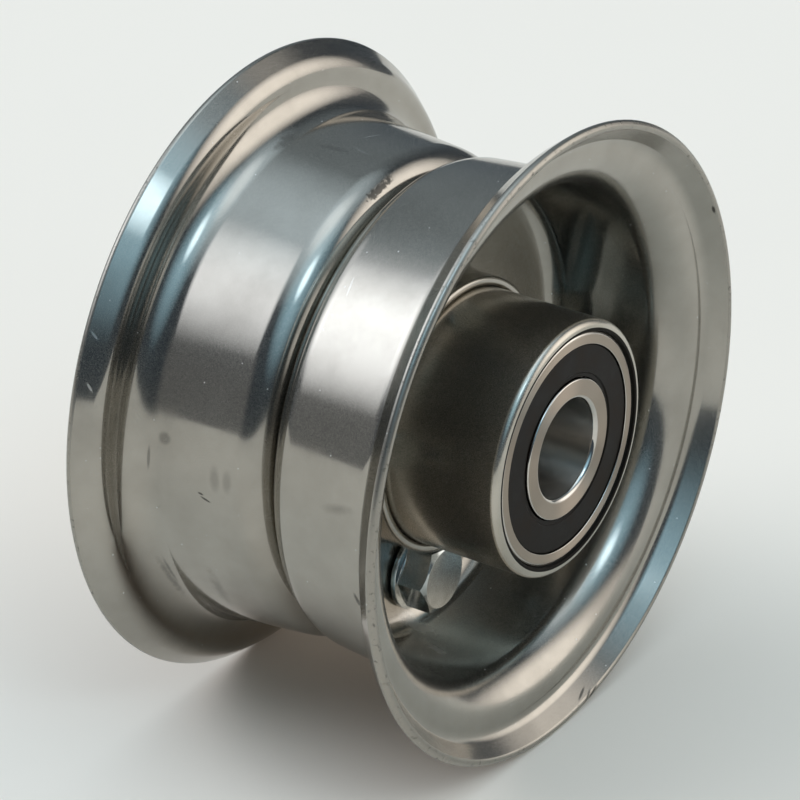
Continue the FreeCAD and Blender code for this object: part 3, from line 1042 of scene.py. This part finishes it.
@dataclass
class Studio:
    """Plain pale floor, soft light all round and the camera at the photograph's viewing angle."""

    azimuth: float = math.radians(-55.88)
    elevation: float = math.radians(28.05)
    distance: float = 924.96
    lens: float = 214.06
    aim: tuple[float, float] = (409.34, 398.94)
    picture: float = 800.0
    floor_size: float = 2000.0
    paper: PaperFinish = PaperFinish("matt studio paper", "#fbeee0", "#f7eadc")
    room: str = "#454e57"
    hazes: tuple[Haze, ...] = (
        Haze("key lamp", -143, 41, "#f2f7ff", 2.75, 8, 28),
        Haze("key wall", -171, 30, "#f2f7ff", 1.6, 6, 26),
        Haze("key ceiling", -165, 64, "#e0f0ff", 0.15, 8, 30),
        Haze("low wall", -125, 6, "#fffaf2", 0.15, 8, 34),
        Haze("ceiling", 65, 86, "#d4e8f5", 1.3, 12, 42),
        Haze("top lamp", 50, 82, "#f4faff", 0.8, 5, 20),
        Haze("cool wall", -28, 47, "#aedcf4", 1.15, 8, 38, 1.3),
        Haze("cool lamp", -23, 51, "#d8efff", 3.5, 4, 11),
        Haze("warm wall", 45, 17, "#fff9f2", 2.1, 12, 34),
        Haze("far wall", 145, 35, "#dcecf4", 0.3, 10, 50),
    )

    def build(self) -> None:
        """Set the colours' view, and make the floor, the lit room and the camera."""
        bpy.context.scene.view_settings.view_transform = "Standard"
        self.floor()
        self.world()
        self.camera()

    def floor(self) -> None:
        """Lay a flat sheet under the flanges."""
        low, reach = CAD_BOX[0][2], self.floor_size / 2 * MM
        corners = [(-reach, -reach, low), (reach, -reach, low), (reach, reach, low), (-reach, reach, low)]
        mesh = bpy.data.meshes.new("studio_floor")
        mesh.from_pydata(corners, [], [(0, 1, 2, 3)])
        mesh.materials.append(self.paper.material())
        place_mesh("studio_floor", mesh)

    def world(self) -> None:
        """Dim room with soft patches of light round the wheel.

        A patch's share is the cosine of the angle from its middle, mapped from its reach to its core and
        raised to its fall.
        """
        world = bpy.data.worlds.new("soft studio room")
        bpy.context.scene.world = world
        add = node_adder(world)
        ray = add("TexCoord").outputs["Generated"]
        light = add("Background", {"Color": linear(self.room)})
        for haze in self.hazes:
            facing = add("VectorMath", {0: ray, 1: haze.direction()}, operation="DOT_PRODUCT")
            rim, full = (math.cos(math.radians(angle)) for angle in (haze.reach, haze.core))
            near = add("MapRange", {"Value": facing.outputs["Value"], "From Min": rim, "From Max": full})
            faded = add("Math", {0: near, 1: haze.fall}, operation="POWER")
            bright = add("Math", {0: faded, 1: haze.glow}, operation="MULTIPLY")
            patch = add("Background", {"Color": linear(haze.colour), "Strength": bright}, label=haze.name)
            light = add("AddShader", {0: light, 1: patch})
        add("OutputWorld", {"Surface": light})

    def camera(self) -> None:
        """Stand the camera where the photograph was taken from.

        The wheel's centre falls on the aim point of the picture, which the lens shift sets.
        """
        across, rise = math.cos(self.elevation), math.sin(self.elevation)
        back = Vector((math.sin(self.azimuth) * across, -math.cos(self.azimuth) * across, rise))
        right = Vector((math.cos(self.azimuth), math.sin(self.azimuth), 0.0))
        made = bpy.data.cameras.new("photo_camera")
        made.lens = self.lens
        made.shift_x = 0.5 - self.aim[0] / self.picture
        made.shift_y = self.aim[1] / self.picture - 0.5
        camera = bpy.data.objects.new("photo_camera", made)
        turn = Matrix((right, back.cross(right), back)).transposed().to_4x4()
        camera.matrix_world = Matrix.Translation(back * self.distance * MM) @ turn
        bpy.context.scene.collection.objects.link(camera)
        bpy.context.scene.camera = camera


# Black scuffs, oily thumb marks and thin scores left on the pressings by handling
PRESSING_SCUFFS = (
    Mark((-10.6, 1.9, 46.9), (-3.6, 2.3, 48.0), 1.0, 0.75, 3.4, 0.35),
    Mark((-9.0, 24.5, 50.7), (-2.3, 24.6, 51.5), 1.4, 0.5, 1.6, 0.6),
    Mark((-2.9, 18.5, 50.8), (-1.8, 12.4, 50.3), 1.0, 0.3, 0.8, 0.8),
    Mark((-50.6, 21.4, 7.5), (-50.6, 21.4, 7.5), 1.6, 0.3, 0.2, 0.5),
    Mark((-50.0, 10.3, 3.8), (-50.1, 10.2, 0.0), 1.3, 0.22, 0.3, 0.6),
    Mark((-49.8, 7.6, 3.6), (-49.9, 7.6, 0.3), 1.2, 0.2, 0.3, 0.6),
    Mark((-51.3, 24.5, 5.4), (-51.6, 24.7, 0.3), 0.4, 0.4),
    Mark((-50.4, 13.8, -1.9), (-50.3, 12.9, -2.1), 0.3, 0.7),
    Mark((-50.3, 13.4, -2.6), (-50.1, 11.3, -3.4), 0.3, 0.7),
    Mark((-50.4, -15.2, 3.9), (-50.8, -21.3, 5.5), 1.3, 0.25, 0.6, 0.8),
    Mark((-45.8, 14.9, -21.4), (-38.6, 15.6, -32.7), 1.6, 0.3, 1.4, 0.8),
    Mark((-47.6, 25.9, -21.5), (-40.2, 25.5, -32.9), 1.0, 0.45, 1.2, 0.8),
    Mark((-47.4, 25.1, -20.9), (-43.0, 24.8, -28.7), 0.5, 0.4, 0.8, 0.6),
    Mark((-49.4, -21.1, -13.1), (-48.7, -22.0, -15.8), 0.6, 0.6, 1.2, 0.5),
    Mark((8.9, -34.5, -61.4), (12.3, -33.7, -60.1), 0.35, 0.7),
    Mark((10.1, -35.1, -62.3), (13.1, -34.6, -60.7), 0.35, 0.7),
    Mark((11.7, -35.1, -62.1), (14.9, -34.9, -60.6), 0.35, 0.7),
    Mark((55.0, -34.7, 28.9), (55.8, -34.7, 27.3), 0.4, 0.8),
)
# Bright scratches and a wiped patch
PRESSING_RUBS = (
    Mark((-59.6, 32.4, 20.1), (-59.3, 31.3, 18.2), 0.35, 0.6),
    Mark((-56.5, 33.5, 29.4), (-56.2, 32.0, 27.6), 0.35, 0.5),
    Mark((4.5, 14.4, 50.3), (10.0, 13.0, 49.4), 0.2, 0.5),
    Mark((-32.3, -7.8, 38.1), (-28.9, -7.3, 40.6), 0.2, 0.5),
    Mark((0.5, 13.4, 50.4), (-0.3, 8.3, 49.9), 0.2, 0.4),
    Mark((-5.5, -2.6, -45.1), (-3.5, -8.4, -47.8), 3.0, 0.6, 1.2, 0.9),
    Mark((-8.6, -9.4, -47.3), (-10.6, -15.5, -47.4), 2.2, 0.4, 1.0, 0.9),
)
# Bright drawn sheet steel, rolled, pressed and lightly oiled: a clear mirror with faint rings from the draw
SHEET_STEEL = SteelFinish("bright drawn sheet steel", "#a6a29a", "#9a968e", 0.08, 0.17, 0.5, 0.0006,
                          wave_depth=0.008, scratch_share=0.5, pit_level=0.597, scuffs=PRESSING_SCUFFS,
                          rubs=PRESSING_RUBS, dust_pitch=3.0, edge_colour="#9c9890", edge_roughness=0.18)
# Cold-drawn bright tube: a satin, hazier than the sheet, with fine turning lines
TUBE_STEEL = SteelFinish("cold drawn bright tube", "#bab5ab", "#aaa59a", 0.14, 0.22, 0.35, 0.001,
                         wave_depth=0.004, scratch_share=0.3, scratch_levels=(0.73, 0.82), pit_level=0.5025,
                         pit_roughness=0.4)
# Ground bearing steel: concentric grinding lines that blur the mirror to a satin and fan its lights out. The
# real lines are several times finer than 0.12 mm, too fine to show, so they are drawn as coarse as that
RING_STEEL = SteelFinish("ground bearing steel", "#cbc8c2", "#c2beb7", 0.06, 0.1, 0.12, 0.0015,
                         film_size=5.0, pit_roughness=0.0, edge_colour="#a3978a", edge_roughness=0.28,
                         fan=1.0)
# Polished chrome steel balls: a bright mirror
BALL_STEEL = SteelFinish("polished ball steel", "#cfcecb", "#c6c5c2", 0.05, 0.09, 0.3, 0.0005, film_size=4.0,
                         runs_round=False)
# Pressed cage strip: dull grey cold-rolled steel
CAGE_STEEL = SteelFinish("cold rolled cage strip", "#a7a49e", "#918e89", 0.25, 0.4, 0.4, 0.004, film_size=4.0,
                         runs_round=False)
# Moulded nitrile rubber: a brown-black satin. Its grain is finer than 0.25 mm, and drawn so coarse to show
SEAL_RUBBER = RubberFinish("moulded nitrile rubber", "#130e0a", "#2e241b", 0.25, 0.45)
# Bright zinc plate: cool silver, nearly a mirror, with small crystalline mottling
ZINC_PLATE = SteelFinish("bright zinc plate", "#b9bdbb", "#a3a6a2", 0.08, 0.18, 0.5, 0.004, film_size=3.0,
                         runs_round=False)


def dress_inner_works(tube: Material, rubber: Material) -> None:
    """Give the CAD nodes that stay as they are their finishes.

    Args:
        tube: Finish of the spacer sleeve.
        rubber: Finish of the inner seals.
    """
    balls, strip = BALL_STEEL.material(), CAGE_STEEL.material()
    finishes = {"balls": balls, "cage_rivets": strip, "outer_cage_half": strip, "inner_cage_half": strip,
                "inner_seal": rubber}
    worn = {f"{side.label}_{name}": finish for side in Side for name, finish in finishes.items()}
    for name, finish in {"spacer_sleeve": tube, **worn}.items():
        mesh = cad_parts[name].data
        mesh.materials.clear()
        mesh.materials.append(finish)
        log.info("%s: CAD mesh in %s", name, finish.name)


def main() -> None:
    """Build the sub-assemblies in order, then the studio."""
    sheet, tube, ring = SHEET_STEEL.material(), TUBE_STEEL.material(), RING_STEEL.material()
    rubber, plate = SEAL_RUBBER.material(), ZINC_PLATE.material()
    for side in Side:
        RimHalf(side).build(sheet)
        SealedBearing(side).build(ring, rubber)
    HubTube().build(tube)
    FlangedFasteners().build(plate)
    dress_inner_works(tube, rubber)
    Studio().build()


if __name__ == "__main__":
    logging.basicConfig(level=logging.INFO, format="%(name)s: %(message)s")
    main()
